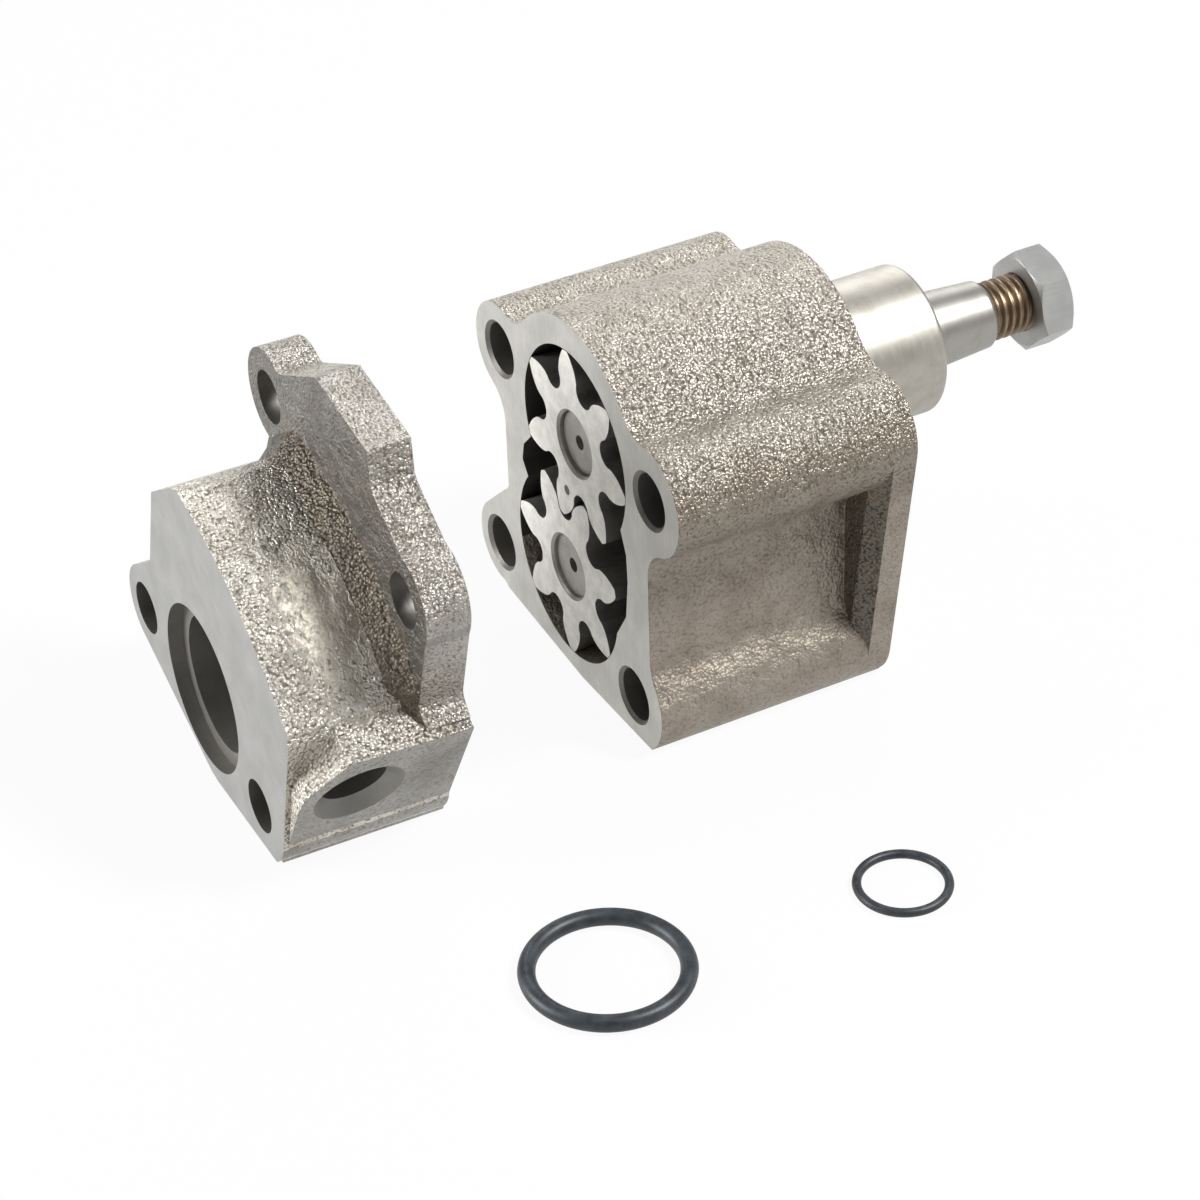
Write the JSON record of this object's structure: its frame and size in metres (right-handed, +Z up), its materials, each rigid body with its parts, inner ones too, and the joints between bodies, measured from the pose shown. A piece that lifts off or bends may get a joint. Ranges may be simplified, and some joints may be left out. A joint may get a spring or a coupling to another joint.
{
  "type": "engine oil pump",
  "caption": "Gear-type engine oil pump: cast housing with meshing gears and a tapered drive shaft with nut, its ported cover taken off, and the seal rings beside it.",
  "frame": {"origin": "on the drive shaft axis, in the housing's rear face where the round pilot begins", "axes": "+Y along the drive shaft towards the nut, +X to the right seen from the gears, +Z up"},
  "size_m": [0.1426, 0.1834, 0.0844],
  "materials": {
    "cast_iron": "sand cast and shot blasted, with machined faces",
    "gear_steel": "sintered and ground",
    "shaft_steel": "turned and ground",
    "nut_steel": "bright machined",
    "bush_bronze": "plain bored",
    "seal_rubber": "matt moulded"
  },
  "bodies": {
    "pump": {"pump_housing": "cast_iron", "pump_cover": "cast_iron", "front_bush": "bush_bronze", "rear_bush": "bush_bronze", "idler_shaft": "shaft_steel", "large_o_ring": "seal_rubber", "small_o_ring": "seal_rubber"},
    "drive_rotor": {"drive_gear": "gear_steel", "drive_shaft": "shaft_steel", "shaft_nut": "nut_steel"},
    "idler_rotor": {"idler_gear": "gear_steel"}
  },
  "joints": [
    {"name": "drive_spin", "type": "hinge", "parent": "pump", "child": "drive_rotor", "pos_m": [0, 0, 0], "axis": [0, 1, 0], "continuous": true},
    {"name": "idler_spin", "type": "hinge", "parent": "pump", "child": "idler_rotor", "pos_m": [-0.00455, 0, -0.0305], "axis": [0, 1, 0], "continuous": true}
  ],
  "couplings": [
    {"joint": "idler_spin", "follows": "drive_spin", "ratio": -1}
  ]
}
